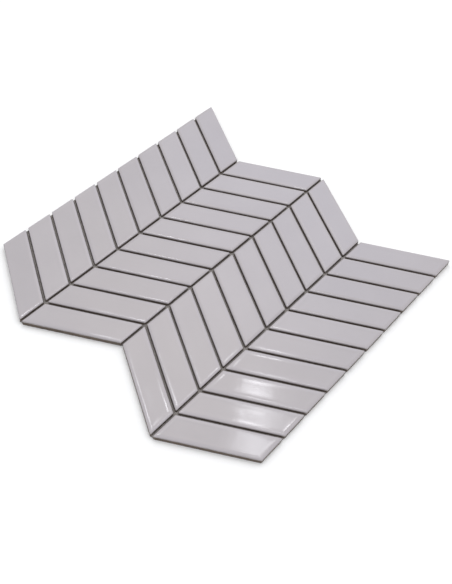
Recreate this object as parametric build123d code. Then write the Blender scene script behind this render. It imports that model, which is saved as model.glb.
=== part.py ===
from build123d import *
import math
import os

# A mosaic sheet of long slanted chips, laid as a chevron and held by netting on their backs.
# The sheet lies flat: X across the columns, Y along the seams, Z up, with the underside of the
# netting at Z = 0 and the middle of the sheet at X = 0, Y = 0. Lengths are in mm, angles in degrees.

# Layout of the sheet
columns = 4
rows = 10
joint = 2.2
slant = 30.0

# One chip
chip_reach = 75.8
chip_width = 22.8
chip_thickness = 5.6
corner_radius = 0.7

# The glazed face: a level middle with a falling band round it and a rounded arris
band_width = 3.0
band_drop = 0.5
arris_radius = 0.6

# The netting under the chips, trimmed a little inside their outer sides and across the sheet's points
netting_thickness = 0.4
netting_setback = 1.5

# Sizes that follow from those above
slope = math.tan(math.radians(slant))
stretch = 1.0 / math.cos(math.radians(slant))
column_pitch = chip_reach + joint
row_pitch = (chip_width + joint) * stretch
seam_step = column_pitch * slope
tip_rounding = corner_radius * (1.0 / math.tan(math.radians(90.0 - slant) / 2) - 1.0)


# Corners of a chip's plan, where lean is +1 if its long sides rise towards +X and -1 if they fall
def slanted_corners(reach, width, lean):
    half_side = width * stretch / 2
    rise = lean * reach / 2 * slope
    return [
        (-reach / 2, -half_side - rise),
        (reach / 2, -half_side + rise),
        (reach / 2, half_side + rise),
        (-reach / 2, half_side - rise),
    ]


# The section pressed into a chip across a width: upright sides, rounded arrises, falling bands and
# the level middle
def pressed_section(width):
    shoulder = chip_thickness - band_drop
    level = width / 2 - band_width
    outline = Polyline(
        (-width / 2, 0),
        (width / 2, 0),
        (width / 2, shoulder),
        (level, chip_thickness),
        (-level, chip_thickness),
        (-width / 2, shoulder),
        close=True,
    )
    section = make_face(outline)
    shoulders = section.vertices().filter_by_position(Axis.Y, shoulder - 0.01, shoulder + 0.01)
    return fillet(shoulders, arris_radius)


# A chip that stands on Z = 0: what its two sections and its plan with rounded corners share
def make_chip(lean):
    along = (math.cos(math.radians(slant)), lean * math.sin(math.radians(slant)), 0)
    across = (-along[1], along[0], 0)
    long_bar = Plane(origin=(0, 0, 0), x_dir=across, z_dir=along) * pressed_section(chip_width)
    cross_bar = Plane.XZ * pressed_section(chip_reach)
    plan = make_face(Polyline(*slanted_corners(chip_reach, chip_width, lean), close=True))
    plan = fillet(plan.vertices(), corner_radius)
    chip = extrude(long_bar, chip_reach, both=True) & extrude(cross_bar, chip_reach, both=True)
    return chip & extrude(plan, chip_thickness)


# Height on Y of the chevron's zigzag line, measured from its middle, at a place along X. It starts
# with a peak at the sheet's left side
def zigzag(x):
    from_left = x + columns / 2 * column_pitch
    from_peak = abs((from_left + column_pitch) % (2 * column_pitch) - column_pitch)
    return seam_step / 2 - from_peak * slope


# The netting as one thin sheet with the chevron's zigzag ends, cut square where the chips' rounded
# corners end
def make_netting():
    setback = joint / 2 + netting_setback
    side = columns / 2 * column_pitch - setback
    end = rows / 2 * row_pitch - setback * stretch
    turns = [-side] + [(n - columns / 2) * column_pitch for n in range(1, columns)] + [side]
    front = [(x, zigzag(x) - end) for x in turns]
    back = [(x, zigzag(x) + end) for x in reversed(turns)]
    sheet = extrude(make_face(Polyline(*front, *back, close=True)), netting_thickness)
    last_corner = rows / 2 * row_pitch + seam_step / 2 - joint / 2 * (slope + stretch)
    tip = last_corner - tip_rounding - netting_setback
    return sheet & Box(2 * side, 2 * tip, 2 * netting_thickness)


os.makedirs("parts", exist_ok=True)

export_step(make_netting(), "parts/netting.step")

falling_chip = make_chip(-1)
rising_chip = make_chip(1)
for column in range(columns):
    chip = falling_chip if column % 2 == 0 else rising_chip
    x = (column - (columns - 1) / 2) * column_pitch
    for row in range(rows):
        y = (row - (rows - 1) / 2) * row_pitch
        placed = Pos(x, y, netting_thickness) * chip
        export_step(placed, f"parts/chip_column{column + 1}_row{row + 1:02d}.step")
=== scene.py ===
import bmesh
import bpy
import math
from mathutils import Matrix, Quaternion, Vector, noise


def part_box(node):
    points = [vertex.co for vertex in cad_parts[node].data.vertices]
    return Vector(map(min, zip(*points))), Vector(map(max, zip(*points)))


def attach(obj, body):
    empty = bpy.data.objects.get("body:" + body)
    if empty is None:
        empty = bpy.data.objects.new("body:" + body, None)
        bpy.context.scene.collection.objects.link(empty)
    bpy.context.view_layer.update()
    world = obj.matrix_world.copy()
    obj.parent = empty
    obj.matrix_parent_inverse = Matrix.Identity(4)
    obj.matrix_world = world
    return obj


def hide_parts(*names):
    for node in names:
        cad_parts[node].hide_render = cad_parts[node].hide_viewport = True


# The looks of a chevron mosaic sheet, drawn round the solids of its frame. The sheet lies flat: X across
# the columns, Y along the seams, Z up. Lengths are in metres, angles in degrees
MM = 0.001

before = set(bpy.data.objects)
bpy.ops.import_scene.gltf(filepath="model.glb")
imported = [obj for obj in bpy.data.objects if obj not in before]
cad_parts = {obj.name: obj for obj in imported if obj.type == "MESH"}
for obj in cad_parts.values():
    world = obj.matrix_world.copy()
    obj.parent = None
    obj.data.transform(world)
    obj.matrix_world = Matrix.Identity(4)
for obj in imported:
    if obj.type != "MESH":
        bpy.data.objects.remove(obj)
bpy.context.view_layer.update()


# Sizes of the sheet, read from its chips and netting
def corners(node):
    low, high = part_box(node)
    return Vector(low), Vector(high)


front_low, front_high = corners("chip_column1_row01")
beside_low, beside_high = corners("chip_column2_row01")
behind_low, behind_high = corners("chip_column1_row02")
netting_low, netting_high = corners("netting")

columns = 4
rows = 10
slant = 30.0
slope = math.tan(math.radians(slant))
stretch = 1.0 / math.cos(math.radians(slant))
column_pitch = beside_low.x - front_low.x
row_pitch = behind_low.y - front_low.y
chip_reach = front_high.x - front_low.x
joint = column_pitch - chip_reach
chip_width = row_pitch / stretch - joint
chip_thickness = front_high.z - front_low.z
bed = netting_high.z

# The glazed face, as pressed: a band round the level middle that falls ever more steeply to the
# arris. Glaze stands in a low lip along the crease between them
band_width = 3.0 * MM
arris_radius = 0.6 * MM
corner_radius = 0.7 * MM
slope_at_arris = math.tan(math.radians(22.0))
slope_at_crease = math.tan(math.radians(2.4))
steepening = 2.5
lip_slope = math.tan(math.radians(2.3))
lip_length = 1.2 * MM
crease_half = 0.25 * MM

# How finely a chip is drawn: steps along its long and short sides, in a corner and over the arris, and
# loops up the upright side, over the band and over half the crease
side_steps = (34, 12)
corner_steps = 6
arris_steps = 7
upright_loops = 4
band_loops = 6
crease_loops = 3

# How far a chip may stray from its place in the sheet, and what it is made smaller by to allow it
stray = 0.08 * MM
turn = math.radians(0.06)
tilt = math.radians(0.16)
trim = 0.2 * MM
headroom = 0.16 * MM


# A chip's plan: four corners of a slanted parallelogram, anticlockwise from the front left
def slanted_corners(inset, lean):
    reach = chip_reach / 2 - inset
    half_side = (chip_width / 2 - inset) * stretch
    rise = lean * reach * slope
    return [
        Vector((-reach, -half_side - rise)),
        Vector((reach, -half_side + rise)),
        Vector((reach, half_side + rise)),
        Vector((-reach, half_side - rise)),
    ]


# One loop round a chip at an inset from its sides, with its corners rounded
def rounded_loop(inset, radius, lean):
    plan = slanted_corners(inset, lean)
    arcs = []
    for n, corner in enumerate(plan):
        towards_last = (plan[n - 1] - corner).normalized()
        towards_next = (plan[(n + 1) % 4] - corner).normalized()
        half = towards_last.angle(towards_next) / 2
        middle = corner + (towards_last + towards_next).normalized() * radius / math.sin(half)
        start = corner + towards_last * radius / math.tan(half) - middle
        sweep = math.pi - 2 * half
        turned = [Matrix.Rotation(sweep * k / corner_steps, 2) @ start for k in range(corner_steps + 1)]
        arcs.append([middle + point for point in turned])
    loop = []
    for n, arc in enumerate(arcs):
        leave, arrive = arc[-1], arcs[(n + 1) % 4][0]
        steps = side_steps[n % 2]
        loop += arc
        loop += [leave.lerp(arrive, k / steps) for k in range(1, steps)]
    return loop


# Slope of the glazed face at an inset from the chip's side, positive where it rises inwards. It eases
# off over the band, turns over at the crease and dies out on the level middle
def face_slope(inset):
    crease = band_width - crease_half
    arris = arris_radius * (1 - math.sin(math.atan(slope_at_arris)))
    if inset < crease:
        out = (crease - inset) / (crease - arris)
        return slope_at_crease + (slope_at_arris - slope_at_crease) * out ** steepening
    if inset < band_width + crease_half:
        across = (inset - crease) / (2 * crease_half)
        return slope_at_crease - (slope_at_crease + lip_slope) * across
    return -lip_slope * math.exp((band_width + crease_half - inset) / lip_length)


# Inset and height of every loop from the foot of a chip's side to the edge of its level middle
def pressed_profile(top):
    steepest = math.atan(slope_at_arris)
    start = arris_radius * (1 - math.sin(steepest))
    crease = band_width - crease_half
    lip_loops = (0.3, 0.7, 1.2, 2.0, 3.0)
    insets = [start] + [start + (crease - start) * k / band_loops for k in range(1, band_loops + 1)]
    insets += [band_width + crease_half * k / crease_loops for k in range(1 - crease_loops, crease_loops + 1)]
    insets += [band_width + crease_half + lip_length * k for k in lip_loops]
    face = [(start, 0.0)]
    for last, inset in zip(insets, insets[1:]):
        rise = face_slope((last + inset) / 2) * (inset - last)
        face.append((inset, face[-1][1] + rise))
    lift = top - max(height for inset, height in face)
    face = [(inset, height + lift) for inset, height in face]

    centre = face[0][1] - arris_radius * math.cos(steepest)
    rounded_foot = [(0.18 * MM, 0.0), (0.05 * MM, 0.05 * MM), (0.0, 0.2 * MM)]
    profile = rounded_foot + [(0.0, centre * k / upright_loops) for k in range(1, upright_loops)]
    for k in range(arris_steps + 1):
        angle = (math.pi / 2 - steepest) * k / arris_steps
        profile.append((arris_radius * (1 - math.cos(angle)), centre + arris_radius * math.sin(angle)))
    return profile + face[1:]


# Faces all round between two loops of as many vertices
def bridge(shape, lower, upper):
    for n in range(len(lower)):
        m = (n + 1) % len(lower)
        shape.faces.new((lower[n], lower[m], upper[m], upper[n]))


# Rounded sides, arris and band in loops. The vertices of the upper half hold their inset for the glaze
def press_sides(shape, from_edge, lean):
    top = chip_thickness - headroom
    sharpening, sharpest = 0.2, 0.3 * MM
    profile = pressed_profile(top)
    loops = []
    for inset, height in profile:
        radius = max(corner_radius - inset * sharpening, sharpest)
        plan = rounded_loop(inset + trim / 2, radius, lean)
        loops.append([shape.verts.new((p.x, p.y, height)) for p in plan])
        for vert in loops[-1]:
            vert[from_edge] = inset if height > top / 2 else 0.0
    for lower, upper in zip(loops, loops[1:]):
        bridge(shape, lower, upper)
    return loops[0], loops[-1], profile[-1]


# The level middle as a grid, joined to the last loop of the sides, which stands at the inset rim
def fill_middle(shape, from_edge, lean, loop, rim, level):
    margin = 0.35 * MM
    near_left, near_right, _, far_left = slanted_corners(rim + trim / 2 + margin, lean)
    long_steps, short_steps = side_steps
    reach = near_right.x - near_left.x
    width = (far_left - near_left).length / stretch
    grid = []
    for i in range(long_steps + 1):
        line = []
        for j in range(short_steps + 1):
            u, v = i / long_steps, j / short_steps
            place = near_left + (near_right - near_left) * u + (far_left - near_left) * v
            vert = shape.verts.new((place.x, place.y, level))
            vert[from_edge] = rim + min(min(u, 1 - u) * reach, min(v, 1 - v) * width)
            line.append(vert)
        grid.append(line)
    for i in range(long_steps):
        for j in range(short_steps):
            shape.faces.new((grid[i][j], grid[i + 1][j], grid[i + 1][j + 1], grid[i][j + 1]))
    sides = [
        [grid[i][0] for i in range(long_steps + 1)],
        [grid[-1][j] for j in range(short_steps + 1)],
        [grid[i][-1] for i in range(long_steps, -1, -1)],
        [grid[0][j] for j in range(short_steps, -1, -1)],
    ]
    at = 0
    for n, side in enumerate(sides):
        for k in range(corner_steps):
            shape.faces.new((loop[at + k], loop[at + k + 1], side[0]))
        at += corner_steps
        for k in range(side_steps[n % 2]):
            shape.faces.new((loop[at + k], loop[(at + k + 1) % len(loop)], side[k + 1], side[k]))
        at += side_steps[n % 2]


# The back stands on a rim and three ribs, with shallow pressed panels between them
def press_back(shape, lean, foot):
    recess = 0.35 * MM
    rim_edges = ((1.6 * MM, 0.0), (2.0 * MM, recess))
    panel_corner = 0.6 * MM
    backs = [foot]
    for inset, height in rim_edges:
        plan = rounded_loop(inset, panel_corner, lean)
        backs.append([shape.verts.new((p.x, p.y, height)) for p in plan])
    for outer, inner in zip(backs, backs[1:]):
        bridge(shape, inner, outer)
    shape.faces.new(list(reversed(backs[-1])))

    # A rib's root, sunk in the chip, and its crest: height, half width and distance from the chip's ends
    root, crest = (recess + 0.1 * MM, 1.1 * MM, 4.0 * MM), (0.0, 0.7 * MM, 4.4 * MM)
    rib_places = (-0.25, 0.0, 0.25)
    for place in rib_places:
        middle = place * chip_width * stretch
        rings = []
        for height, half_width, back_off in (root, crest):
            end = chip_reach / 2 - back_off
            plan = ((-end, -half_width), (end, -half_width), (end, half_width), (-end, half_width))
            points = [(x, middle + y * stretch + lean * x * slope, height) for x, y in plan]
            rings.append([shape.verts.new(point) for point in points])
        upper, lower = rings
        shape.faces.new(upper)
        shape.faces.new(list(reversed(lower)))
        bridge(shape, lower, upper)


# A finished shape as an object with a mesh of its own
def object_from(shape, name):
    mesh = bpy.data.meshes.new(name)
    shape.to_mesh(mesh)
    shape.free()
    return bpy.data.objects.new(name, mesh)


# The pressed chip. Its plan is laid out along and across it for the streaks in the glaze
def press_chip(name, lean):
    shape = bmesh.new()
    from_edge = shape.verts.layers.float.new("from_edge")
    foot, loop, (rim, level) = press_sides(shape, from_edge, lean)
    fill_middle(shape, from_edge, lean, loop, rim, level)
    press_back(shape, lean, foot)
    along = Vector((1.0, lean * slope)).normalized()
    plan_map = shape.loops.layers.uv.new("chip_plan")
    for face in shape.faces:
        face.smooth = True
        for corner in face.loops:
            place = corner.vert.co.xy
            corner[plan_map].uv = (place.dot(along), along.cross(place))
    bmesh.ops.recalc_face_normals(shape, faces=shape.faces)
    return object_from(shape, name)


def add_to_scene(thing):
    bpy.context.scene.collection.objects.link(thing)


# A new node in a material or geometry tree. Its inputs take the given values or links
def put(tree, kind, values=None, **settings):
    made = tree.nodes.new(kind)
    for key, value in settings.items():
        setattr(made, key, value)
    for key, value in (values or {}).items():
        if isinstance(value, bpy.types.NodeSocket):
            tree.links.new(value, made.inputs[key])
        else:
            made.inputs[key].default_value = value
    return made


# The outcome of one step of working out, in numbers or in vectors
def sum_of(tree, kind, a, b, domain="ShaderNodeMath", third=None):
    values = {n: value for n, value in enumerate((a, b, third)) if value is not None}
    return put(tree, domain, values, operation=kind).outputs[0]


def vector_sum(tree, kind, a, b):
    return sum_of(tree, kind, a, b, "ShaderNodeVectorMath")


def scaled(tree, vector, by):
    return put(tree, "ShaderNodeVectorMath", {0: vector, "Scale": by}, operation="SCALE").outputs[0]


# How closely two directions agree, as the cosine of the angle between them
def agreement(tree, one, other):
    return put(tree, "ShaderNodeVectorMath", {0: one, 1: other}, operation="DOT_PRODUCT").outputs["Value"]


# A value brought from one range to another and held inside it
def rescale(tree, value, low, high, to_low, to_high, smooth=False):
    values = {"Value": value, "From Min": low, "From Max": high, "To Min": to_low, "To Max": to_high}
    kind = "SMOOTHSTEP" if smooth else "LINEAR"
    return put(tree, "ShaderNodeMapRange", values, clamp=True, interpolation_type=kind).outputs[0]


# Noise with clumps of a given size
def mottle(tree, where, size, detail=2.0, roughness=0.5, stretch_to=None):
    source = where
    if stretch_to:
        source = put(tree, "ShaderNodeMapping", {"Vector": where, "Scale": stretch_to}).outputs[0]
    made = put(tree, "ShaderNodeTexNoise", {"Vector": source, "Scale": 1.0 / size, "Detail": detail,
                                           "Roughness": roughness})
    return made.outputs["Fac"]


# Two colours mixed, from the one at 0 to the other at 1. A mix node has sockets of the same name for
# each kind of value, so these are found by identifier
def blend_colours(tree, amount, one, other):
    made = put(tree, "ShaderNodeMix", data_type="RGBA")
    pairs = (("Factor_Float", amount), ("A_Color", one), ("B_Color", other))
    for wanted, value in pairs:
        target = next(s for s in made.inputs if s.identifier == wanted)
        if isinstance(value, bpy.types.NodeSocket):
            tree.links.new(value, target)
        elif isinstance(value, tuple):
            target.default_value = (*value, 1.0)
        else:
            target.default_value = value
    return next(s for s in made.outputs if s.identifier == "Result_Color")


# Relief in metres that the shader shows without moving the surface
def add_relief(tree, shader, relief):
    bump = put(tree, "ShaderNodeBump", {"Height": relief, "Distance": 1.0, "Strength": 1.0})
    tree.links.new(bump.outputs[0], shader.inputs["Normal"])


# A material with its tree, its shader and the place on the object that is shaded
def new_material(name):
    material = bpy.data.materials.new(name)
    material.use_nodes = True
    tree = material.node_tree
    tree.nodes.clear()
    shader = put(tree, "ShaderNodeBsdfPrincipled")
    out = put(tree, "ShaderNodeOutputMaterial")
    tree.links.new(shader.outputs[0], out.inputs["Surface"])
    where = put(tree, "ShaderNodeTexCoord").outputs["Object"]
    return material, tree, shader, where


# Pale lilac-grey glaze over a brown-grey body that shows on the sides and back
def glazed_clay():
    pale_glaze, deep_glaze, thin_glaze = (0.427, 0.399, 0.417), (0.395, 0.368, 0.387), (0.245, 0.220, 0.210)
    pale_clay, deep_clay = (0.141, 0.108, 0.083), (0.102, 0.077, 0.059)
    speck, inclusion = (0.31, 0.28, 0.28), (0.045, 0.035, 0.028)
    clay_roughness, glaze_index = 0.78, 1.52
    material, tree, shader, where = new_material("glazed clay")
    height = put(tree, "ShaderNodeSeparateXYZ", {"Vector": where}).outputs["Z"]
    firing = put(tree, "ShaderNodeAttribute", attribute_name="firing").outputs["Fac"]
    from_edge = put(tree, "ShaderNodeAttribute", attribute_name="from_edge").outputs["Fac"]
    chip_plan = put(tree, "ShaderNodeUVMap", uv_map="chip_plan").outputs[0]

    # The glaze runs down the sides to a wavy line, which is at most 2.15 mm below the top
    run = mottle(tree, where, 7 * MM, 2.0)
    lowest = bed + chip_thickness - 2.15 * MM
    edge = sum_of(tree, "MULTIPLY_ADD", run, 1.1 * MM, third=lowest)
    above = sum_of(tree, "SUBTRACT", height, edge)
    glazed = rescale(tree, above, -0.10 * MM, 0.12 * MM, 0.0, 1.0, smooth=True)

    # Colour of the glaze: each chip fired a little differently, with faint clouds and a few fine specks
    cloud = mottle(tree, where, 34 * MM, 3.0)
    fine = mottle(tree, where, 1.6 * MM, 2.0)
    clouds = rescale(tree, cloud, 0.3, 0.7, 0.0, 0.5)
    shade = sum_of(tree, "MULTIPLY_ADD", firing, 0.5, third=clouds)
    glaze = blend_colours(tree, shade, deep_glaze, pale_glaze)

    # It is thin and darker over the arris
    thin = rescale(tree, from_edge, 0.1 * MM, 0.7 * MM, 0.2, 0.0, smooth=True)
    glaze = blend_colours(tree, thin, glaze, thin_glaze)
    specks = rescale(tree, fine, 0.72, 0.80, 0.0, 0.12)
    glaze = blend_colours(tree, specks, glaze, speck)

    # The fired body: grain and a few darker inclusions
    grain = mottle(tree, where, 0.35 * MM, 4.0, 0.7)
    patch = mottle(tree, where, 6 * MM, 3.0, 0.6)
    clay = blend_colours(tree, rescale(tree, patch, 0.3, 0.7, 0.0, 1.0), deep_clay, pale_clay)
    clay = blend_colours(tree, rescale(tree, grain, 0.62, 0.75, 0.0, 0.6), clay, inclusion)
    tree.links.new(blend_colours(tree, glazed, clay, glaze), shader.inputs["Base Color"])

    gloss = rescale(tree, mottle(tree, where, 12 * MM, 3.0), 0.3, 0.7, 0.035, 0.07)
    bare = sum_of(tree, "SUBTRACT", 1.0, glazed)
    glossy = sum_of(tree, "MULTIPLY", gloss, glazed)
    rough = sum_of(tree, "MULTIPLY_ADD", bare, clay_roughness, third=glossy)
    tree.links.new(rough, shader.inputs["Roughness"])
    shader.inputs["IOR"].default_value = glaze_index

    # Relief: slow waves, faint streaks across each chip and a fine ripple in the glaze, grain in the body
    wave_height, streak_height, ripple_height = 0.05 * MM, 0.014 * MM, 0.004 * MM
    grain_height, glaze_thickness = 0.10 * MM, 0.06 * MM
    waves = mottle(tree, where, 16 * MM, 1.0)
    apart = put(tree, "ShaderNodeCombineXYZ", {"Z": sum_of(tree, "MULTIPLY", firing, 0.5)}).outputs[0]
    chip_place = vector_sum(tree, "ADD", chip_plan, apart)
    streaks = mottle(tree, chip_place, 4.5 * MM, 1.0, stretch_to=(1.0, 0.22, 1.0))
    ripple = mottle(tree, where, 3.2 * MM, 2.0)
    skin = sum_of(tree, "MULTIPLY", waves, wave_height)
    skin = sum_of(tree, "MULTIPLY_ADD", streaks, streak_height, third=skin)
    skin = sum_of(tree, "MULTIPLY_ADD", ripple, ripple_height, third=skin)
    skin = sum_of(tree, "MULTIPLY", skin, glazed)
    pitted = sum_of(tree, "MULTIPLY", sum_of(tree, "MULTIPLY", grain, grain_height), bare)
    uneven = sum_of(tree, "ADD", skin, pitted)
    add_relief(tree, shader, sum_of(tree, "MULTIPLY_ADD", glazed, glaze_thickness, third=uneven))
    return material


# Resin-stiffened glass yarn, with painted shade in the hollows between its strands
def netting_yarn():
    light, dull, shade_between_strands = (0.50, 0.47, 0.40), (0.36, 0.33, 0.27), (0.2, 0.17, 0.13)
    strand_height = 0.06 * MM
    material, tree, shader, where = new_material("netting yarn")
    strands = mottle(tree, where, 0.18 * MM, 3.0, 0.6)
    soiled = mottle(tree, where, 18 * MM, 3.0)
    colour = blend_colours(tree, rescale(tree, soiled, 0.3, 0.7, 0.0, 1.0), light, dull)
    # Painted shade: darker where the strand relief is low, in the hollows between the strands
    colour = blend_colours(tree, rescale(tree, strands, 0.35, 0.6, 0.35, 0.0), colour, shade_between_strands)
    tree.links.new(colour, shader.inputs["Base Color"])
    tree.links.new(rescale(tree, strands, 0.3, 0.7, 0.45, 0.7), shader.inputs["Roughness"])
    add_relief(tree, shader, sum_of(tree, "MULTIPLY", strands, strand_height))
    return material


# Dried adhesive, brown-grey and a little shiny
def joint_adhesive():
    pale, deep = (0.268, 0.246, 0.234), (0.204, 0.186, 0.176)
    lump_height = 0.15 * MM
    material, tree, shader, where = new_material("joint adhesive")
    smear = mottle(tree, where, 9 * MM, 4.0, 0.6)
    lumps = mottle(tree, where, 1.3 * MM, 3.0)
    colour = blend_colours(tree, rescale(tree, smear, 0.3, 0.7, 0.0, 1.0), pale, deep)
    tree.links.new(colour, shader.inputs["Base Color"])
    tree.links.new(rescale(tree, lumps, 0.3, 0.7, 0.5, 0.75), shader.inputs["Roughness"])
    shader.inputs["Specular IOR Level"].default_value = 0.3
    add_relief(tree, shader, sum_of(tree, "MULTIPLY", lumps, lump_height))
    return material


# Matt white paper with a slow drift in its tone
def studio_floor():
    material, tree, shader, where = new_material("studio floor")
    drift = mottle(tree, where, 0.9, 2.0)
    colour = blend_colours(tree, drift, (0.93, 0.93, 0.93), (0.95, 0.95, 0.95))
    tree.links.new(colour, shader.inputs["Base Color"])
    shader.inputs["Roughness"].default_value = 0.9
    shader.inputs["Specular IOR Level"].default_value = 0.1
    return material


# A geometry tree with named inputs, and one output
def new_tree(name, wanted):
    tree = bpy.data.node_groups.new(name, "GeometryNodeTree")
    for label, kind in wanted:
        tree.interface.new_socket(label, in_out="INPUT", socket_type="NodeSocket" + kind)
    tree.interface.new_socket("Geometry", in_out="OUTPUT", socket_type="NodeSocketGeometry")
    given = tree.nodes.new("NodeGroupInput").outputs
    result = tree.nodes.new("NodeGroupOutput").inputs
    return tree, given, result


# A random vector for each point, up to a reach either way
def any_way(tree, reach, seed):
    back = vector_sum(tree, "MULTIPLY", reach, (-1, -1, -1))
    return put(tree, "FunctionNodeRandomValue", {"Min": back, "Max": reach, "Seed": seed},
               data_type="FLOAT_VECTOR").outputs[0]


# Chips laid one behind the other along a seam. Each strays a little from its place, leans a little and
# is fired a little differently, by three draws that each have a seed of their own
def laying_tree():
    rock_seed, firing_seed = 7, 19
    tree, given, result = new_tree("lay a column of chips", [
        ("Chip", "Object"), ("Chips", "Int"), ("First Chip", "Vector"), ("Step", "Vector"),
        ("Stray", "Float"), ("Tilt", "Float"), ("Turn", "Float"), ("Seed", "Int"), ("Finish", "Material"),
    ])
    line = put(tree, "GeometryNodeMeshLine", {"Count": given["Chips"], "Start Location": given["First Chip"],
                                              "Offset": given["Step"]}, mode="OFFSET")
    stray_by = put(tree, "ShaderNodeCombineXYZ", {"X": given["Stray"], "Y": given["Stray"]}).outputs[0]
    wander = any_way(tree, stray_by, given["Seed"])
    moved = put(tree, "GeometryNodeSetPosition", {"Geometry": line.outputs[0], "Offset": wander})
    lean_by = put(tree, "ShaderNodeCombineXYZ", {"X": given["Tilt"], "Y": given["Tilt"],
                                                 "Z": given["Turn"]}).outputs[0]
    rock = any_way(tree, lean_by, sum_of(tree, "ADD", given["Seed"], rock_seed))
    chip = put(tree, "GeometryNodeObjectInfo", {"Object": given["Chip"]}).outputs["Geometry"]
    laid = put(tree, "GeometryNodeInstanceOnPoints", {"Points": moved.outputs[0], "Instance": chip,
                                                      "Rotation": rock})
    fired = put(tree, "FunctionNodeRandomValue", {"Seed": sum_of(tree, "ADD", given["Seed"], firing_seed)},
                data_type="FLOAT")
    marked = put(tree, "GeometryNodeStoreNamedAttribute", {"Geometry": laid.outputs[0], "Name": "firing",
                                                           "Value": fired.outputs[1]}, data_type="FLOAT",
                 domain="INSTANCE")
    real = put(tree, "GeometryNodeRealizeInstances", {"Geometry": marked.outputs[0]})
    coated = put(tree, "GeometryNodeSetMaterial", {"Geometry": real.outputs[0], "Material": given["Finish"]})
    tree.links.new(coated.outputs[0], result[0])
    return tree


# The mesh that a tree makes with the given inputs, as an object of its own
def make_from_tree(tree, name, values):
    holder = bpy.data.objects.new(name + " holder", bpy.data.meshes.new(name + " holder"))
    add_to_scene(holder)
    maker = holder.modifiers.new("maker", "NODES")
    maker.node_group = tree
    for socket in tree.interface.items_tree:
        if socket.in_out == "INPUT" and socket.name in values:
            maker[socket.identifier] = values[socket.name]
    bpy.context.view_layer.update()
    shown = holder.evaluated_get(bpy.context.evaluated_depsgraph_get())
    mesh = bpy.data.meshes.new_from_object(shown)
    mesh.name = name
    if mesh.materials[0] is None:
        mesh.materials.pop(index=0)
    holder.modifiers.clear()
    bpy.data.objects.remove(holder)
    piece = bpy.data.objects.new(name, mesh)
    add_to_scene(piece)
    return piece


# Each column of chips as one piece. The two pressed chips that are copied go once all columns are laid
def lay_chips(finish):
    first_seed = 11
    tree = laying_tree()
    masters = {lean: press_chip(f"pressed chip {lean}", lean) for lean in (-1, 1)}
    for master in masters.values():
        add_to_scene(master)
    for column in range(columns):
        low, high = corners(f"chip_column{column + 1}_row01")
        first = Vector(((low.x + high.x) / 2, (low.y + high.y) / 2, bed))
        piece = make_from_tree(tree, f"glazed_chips_column{column + 1}", {
            "Chip": masters[-1 if column % 2 == 0 else 1], "Chips": rows, "First Chip": first,
            "Step": (0.0, row_pitch, 0.0), "Stray": stray, "Tilt": tilt, "Turn": turn,
            "Seed": first_seed + column, "Finish": finish,
        })
        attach(piece, "root")
        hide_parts(*[f"chip_column{column + 1}_row{row + 1:02d}" for row in range(rows)])
    for master in masters.values():
        bpy.data.objects.remove(master)


# Height on Y of the chevron's zigzag line, measured from its middle, at a place along X
def zigzag(x):
    from_peak = abs((x + column_pitch) % (2 * column_pitch) - column_pitch)
    return column_pitch * slope / 2 - from_peak * slope


# One crossing of the netting: a yarn along Y and a yarn along X, one over the other
def yarn_crossing(name, pitch, yarn_width, over):
    shape = bmesh.new()
    middle = bed * 0.5
    thick = bed * 0.46
    rise_over = bed * 0.22
    flattening = 1.12
    for along, lift in ((0, over), (1, -over)):
        rings = []
        for t in (-0.5, 0.0, 0.5):
            height = middle + (lift * rise_over if t == 0 else 0.0)
            half = yarn_width / 2 * (1.0 if t else flattening)
            ring = []
            for side, rise in ((-half, 0.0), (0.0, -thick / 2), (half, 0.0), (0.0, thick / 2)):
                x, y = (side, t * pitch) if along == 0 else (t * pitch, side)
                ring.append(shape.verts.new((x, y, height + rise)))
            rings.append(ring)
        for a, b in zip(rings, rings[1:]):
            bridge(shape, *((a, b) if along == 0 else (b, a)))
    for face in shape.faces:
        face.smooth = True
    return object_from(shape, name)


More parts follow.
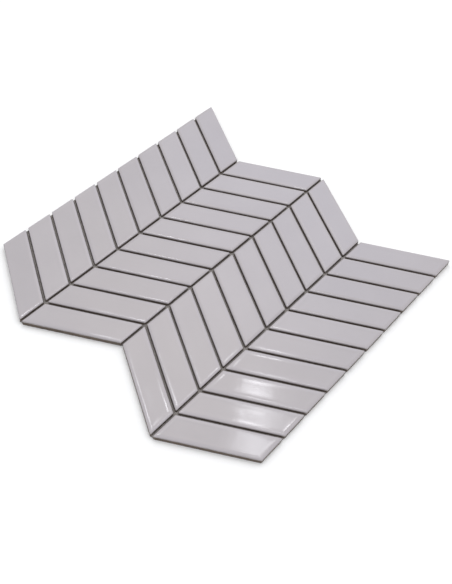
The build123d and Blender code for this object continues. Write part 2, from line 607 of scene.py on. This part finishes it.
# The netting: crossings on a grid, over and under by turns, gently pulled out of square
def netting_tree():
    tree, given, result = new_tree("weave the netting", [
        ("Over", "Object"), ("Under", "Object"), ("Yarns Across", "Int"), ("Yarns Along", "Int"),
        ("Pitch", "Float"), ("Pull", "Float"), ("Finish", "Material"),
    ])

    def span(count):
        return sum_of(tree, "MULTIPLY", sum_of(tree, "SUBTRACT", count, 1), given["Pitch"])

    grid = put(tree, "GeometryNodeMeshGrid", {
        "Size X": span(given["Yarns Across"]), "Size Y": span(given["Yarns Along"]),
        "Vertices X": given["Yarns Across"], "Vertices Y": given["Yarns Along"],
    })
    index = put(tree, "GeometryNodeInputIndex").outputs[0]
    column = sum_of(tree, "FLOOR", sum_of(tree, "DIVIDE", index, given["Yarns Along"]), None)
    place = sum_of(tree, "ADD", sum_of(tree, "MODULO", index, given["Yarns Along"]), column)
    odd = sum_of(tree, "GREATER_THAN", sum_of(tree, "MODULO", place, 2), 0.5)
    even = sum_of(tree, "SUBTRACT", 1, odd)
    together = put(tree, "GeometryNodeJoinGeometry")
    for label, chosen in (("Over", odd), ("Under", even)):
        shape = put(tree, "GeometryNodeObjectInfo", {"Object": given[label]})
        laid = put(tree, "GeometryNodeInstanceOnPoints", {"Points": grid.outputs[0], "Selection": chosen,
                                                          "Instance": shape.outputs["Geometry"]})
        tree.links.new(laid.outputs[0], together.inputs[0])
    real = put(tree, "GeometryNodeRealizeInstances", {"Geometry": together.outputs[0]})
    merged = put(tree, "GeometryNodeMergeByDistance", {"Geometry": real.outputs[0], "Distance": 0.005 * MM})
    where = put(tree, "GeometryNodeInputPosition").outputs[0]
    drift = put(tree, "ShaderNodeTexNoise", {"Vector": where, "Scale": 1.0 / (30 * MM), "Detail": 1.0})
    centred = vector_sum(tree, "SUBTRACT", drift.outputs["Color"], (0.5, 0.5, 0.5))
    flat = vector_sum(tree, "MULTIPLY", centred, (1, 1, 0))
    pulled = put(tree, "GeometryNodeSetPosition", {"Geometry": merged.outputs[0],
                                                   "Offset": scaled(tree, flat, given["Pull"])})
    coated = put(tree, "GeometryNodeSetMaterial", {"Geometry": pulled.outputs[0],
                                                   "Material": given["Finish"]})
    tree.links.new(coated.outputs[0], result[0])
    return tree


# Yarns are cut along the sheet's outline: those that end just past it are drawn back to it
def cut_netting(shape, side, end, tip):
    just_past = 2 * MM
    outside = []
    for vert in shape.verts:
        bend = zigzag(vert.co.x)
        past = max(abs(vert.co.x) - side, vert.co.y - end - bend, -end + bend - vert.co.y)
        if past > just_past:
            outside.append(vert)
    bmesh.ops.delete(shape, geom=outside, context="VERTS")
    for vert in shape.verts:
        keep_inside(vert, side, end, tip)


def keep_inside(vert, side, end, tip):
    vert.co.x = min(max(vert.co.x, -side), side)
    bend = zigzag(vert.co.x)
    vert.co.y = min(max(vert.co.y, bend - end, -tip), bend + end, tip)


# Distance to the middle of the nearest joint, at a place along X and a distance t along Y from the
# zigzag line
def from_joint(x, t):
    from_seam = abs((x + column_pitch / 2) % column_pitch - column_pitch / 2)
    from_row = abs((t + row_pitch / 2) % row_pitch - row_pitch / 2) / stretch
    return min(from_seam, from_row)


# Lines across one cell of the sheet: near its joints where the adhesive's rims run, evenly between
def lines_of_cell(pitch, rims, steps):
    near = [0.0, *rims]
    first, last = near[-1], pitch - near[-1]
    between = [first + (last - first) * k / steps for k in range(1, steps)]
    return near + between + [pitch - rim for rim in reversed(rims)]


# Beads of adhesive along every joint: squeezed up between the chips, and spread in a thin wavering
# film under their sides. The chips' middles stay bare
def bead_joints(shape, side, end, tip):
    squeezed, spread, under = bed + 2.1 * MM, bed - 0.02 * MM, bed - 0.14 * MM
    gap = joint / 2
    shoulder, reach = 0.6 * MM, 4.2 * MM
    wave_size, wave_height = 6 * MM, 0.14 * MM
    still, wander_size, wander = 1 * MM, 5 * MM, 1.1 * MM
    steps_across, steps_along = 12, 4
    wander_seed = 5
    noise.seed_set(wander_seed)
    rims = (gap, gap + shoulder, reach)
    across = lines_of_cell(column_pitch, rims, steps_across)
    along = lines_of_cell(row_pitch, [rim * stretch for rim in rims], steps_along)
    left = -columns / 2 * column_pitch
    front = -rows / 2 * row_pitch
    xs = [left + c * column_pitch + x for c in range(columns) for x in across] + [-left]
    ts = [front + r * row_pitch + t for r in range(rows) for t in along] + [-front]
    grid = []
    for x in xs:
        line = []
        for t in ts:
            away = from_joint(x, t)
            waver = noise.noise(Vector((x, t, 0.0)) / wave_size)
            fill = 1.0 - min(max((away - gap) / shoulder, 0.0), 1.0)
            height = spread + (squeezed + waver * wave_height - spread) * fill
            vert = shape.verts.new((x, t + zigzag(x), height))
            if away > gap + still:
                turn_by = noise.noise_vector(Vector((x, t, 1.0)) / wander_size) * wander
                vert.co.x += turn_by.x
                vert.co.y += turn_by.y
            keep_inside(vert, side, end, tip)
            line.append(vert)
        grid.append(line)
    film = []
    for i in range(len(xs) - 1):
        for j in range(len(ts) - 1):
            if from_joint((xs[i] + xs[i + 1]) / 2, (ts[j] + ts[j + 1]) / 2) < reach:
                film.append(shape.faces.new((grid[i][j], grid[i + 1][j], grid[i + 1][j + 1], grid[i][j + 1])))
    loose = [vert for line in grid for vert in line if not vert.link_faces]
    bmesh.ops.delete(shape, geom=loose, context="VERTS")

    # The film gets its thickness: a copy keeps its heights, and the film itself becomes the underside
    raised = bmesh.ops.extrude_face_region(shape, geom=film, use_keep_orig=True)["geom"]
    tops = {vert for vert in raised if isinstance(vert, bmesh.types.BMVert)}
    bases = {vert for face in film for vert in face.verts}
    for vert in bases:
        vert.co.z = under
    for face in shape.faces:
        if any(vert in tops or vert in bases for vert in face.verts):
            face.material_index = 1
            face.smooth = True


# The netting and its beads as one piece. The beads run a little further out than the yarns
def weave_netting(finish, adhesive):
    pitch = 5.0 * MM
    yarn_width = 0.85 * MM
    pull = 1.6 * MM
    squeezed_past = 0.9 * MM
    side, tip = netting_high.x, netting_high.y
    back_off = (columns / 2 * column_pitch - side) * stretch
    end = rows / 2 * row_pitch - back_off
    half_length = end + column_pitch * slope / 2
    masters = [yarn_crossing(f"crossing {over}", pitch, yarn_width, over) for over in (1, -1)]
    for master in masters:
        add_to_scene(master)
    piece = make_from_tree(netting_tree(), "woven_netting", {
        "Over": masters[0], "Under": masters[1],
        "Yarns Across": 2 * math.ceil(side / pitch) + 1,
        "Yarns Along": 2 * math.ceil(half_length / pitch) + 1,
        "Pitch": pitch, "Pull": pull, "Finish": finish,
    })
    for master in masters:
        bpy.data.objects.remove(master)
    piece.data.materials.append(adhesive)
    shape = bmesh.new()
    shape.from_mesh(piece.data)
    cut_netting(shape, side, end, tip)
    bead_joints(shape, side + squeezed_past, end + squeezed_past * stretch, tip + squeezed_past)
    shape.to_mesh(piece.data)
    shape.free()
    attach(piece, "root")
    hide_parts("netting")


lay_chips(glazed_clay())
weave_netting(netting_yarn(), joint_adhesive())

# The studio: a pale floor, soft light from the whole room, and soft boxes behind the sheet for its
# glazed faces to mirror
half = 6.0
floor_plan = [(-half, -half, 0.0), (half, -half, 0.0), (half, half, 0.0), (-half, half, 0.0)]
floor_mesh = bpy.data.meshes.new("studio_floor")
floor_mesh.from_pydata(floor_plan, [], [(0, 1, 2, 3)])
floor_mesh.materials.append(studio_floor())
floor = bpy.data.objects.new("studio_floor", floor_mesh)
add_to_scene(floor)


# A direction out of the sheet, by azimuth from +Y towards +X and elevation
def out_towards(azimuth, elevation):
    turned, rise = math.radians(azimuth), math.radians(elevation)
    return Vector((math.sin(turned) * math.cos(rise), math.cos(turned) * math.cos(rise), math.sin(rise)))


# Light from the whole room, brightest overhead and a little behind the sheet
world = bpy.data.worlds.new("soft studio")
bpy.context.scene.world = world
world.use_nodes = True
room = world.node_tree
direction = put(room, "ShaderNodeTexCoord").outputs["Generated"]
brightest = (-0.15, 0.32, 0.935)
room_colour = (0.974, 0.977, 0.997)
dimmest, strongest = 0.176, 1.578
strength = rescale(room, agreement(room, direction, brightest), -0.2, 1.0, dimmest, strongest)
room_light = scaled(room, room_colour, strength)

# The wall that the sheet mirrors is a little dimmer, with a cool pale patch low on it and a warm one
# higher up. Each patch has an azimuth, an elevation, a radius in degrees and the light that it adds
wall_patches = (
    (-38.0, 52.0, 42.0, (-0.205, -0.192, -0.276)),
    (-29.0, 44.3, 15.3, (0.475, 0.528, 0.836)),
    (-39.1, 54.6, 12.5, (0.725, 0.640, 0.505)),
)
for azimuth, elevation, radius, tint in wall_patches:
    near = agreement(room, direction, out_towards(azimuth, elevation))
    amount = rescale(room, near, math.cos(math.radians(radius)), 1.0, 0.0, 1.0, smooth=True)
    room_light = vector_sum(room, "ADD", room_light, scaled(room, tint, amount))
room.links.new(room_light, room.nodes["Background"].inputs["Color"])

# The place on the sheet that mirrors the window in the photograph
lit_place = Vector((0.112, -0.077, 0.0))


# A box that hangs where that place sees it, by azimuth from +Y towards +X, elevation and distance. Its
# light fades over a share of its width and height at each edge, and its top may lean to the right
def soft_box(name, azimuth, elevation, distance, width, height, power, fade, lean):
    light = bpy.data.lights.new(name, "AREA")
    light.use_nodes = True
    tree = light.node_tree
    spot = put(tree, "ShaderNodeNewGeometry").outputs["Parametric"]
    across = put(tree, "ShaderNodeSeparateXYZ", {"Vector": spot})
    edges = []
    for axis in ("X", "Y"):
        from_middle = sum_of(tree, "ABSOLUTE", sum_of(tree, "SUBTRACT", across.outputs[axis], 0.5), None)
        edges.append(rescale(tree, from_middle, 0.5 - fade, 0.5, 1.0, 0.0, smooth=True))
    tree.links.new(sum_of(tree, "MULTIPLY", *edges), tree.nodes["Emission"].inputs["Strength"])
    light.shape = "RECTANGLE"
    light.size = width
    light.size_y = height
    light.energy = power
    light.color = (0.94, 0.95, 1.0)
    away = out_towards(azimuth, elevation)
    lamp = bpy.data.objects.new(name, light)
    lamp.location = lit_place + away * distance
    upright = (-away).to_track_quat("-Z", "Y")
    lamp.rotation_euler = (upright @ Quaternion((0.0, 0.0, 1.0), math.radians(-lean))).to_euler()
    add_to_scene(lamp)


# Name, azimuth, elevation, distance, width, height, power, fade and lean
boxes = (
    ("window", -28.4, 59.8, 2.5, 0.19, 0.19, 1.12, 0.45, 0.0),
    ("window's upper part", -26.8, 64.0, 2.5, 0.27, 0.57, 2.62, 0.49, 12.0),
    ("side box", -51.0, 64.5, 6.0, 0.44, 1.15, 19.5, 0.4, 15.0),
    ("side box's wing", -55.5, 61.5, 6.0, 0.24, 0.90, 4.8, 0.3, 0.0),
    ("high box", -18.4, 71.6, 6.0, 0.50, 1.50, 11.0, 0.35, 20.0),
)
for box in boxes:
    soft_box(*box)

# The camera stands where the photograph was taken from
camera_place = (0.266627, -0.362304, 0.550133)
look = Vector((-0.34894940, 0.50138593, -0.79173636))
right = Vector((0.74895939, 0.65701465, 0.08597428))
up = right.cross(look)
lens = bpy.data.cameras.new("camera")
lens.sensor_fit = "VERTICAL"
lens.sensor_height = 36.0
lens.lens = 47.062
lens.clip_start = 0.01
camera = bpy.data.objects.new("camera", lens)
camera.matrix_world = Matrix.Translation(camera_place) @ Matrix((
    (right.x, up.x, -look.x),
    (right.y, up.y, -look.y),
    (right.z, up.z, -look.z),
)).to_4x4()
add_to_scene(camera)
bpy.context.scene.camera = camera
bpy.context.scene.view_settings.view_transform = "Standard"
bpy.context.scene.view_settings.look = "None"
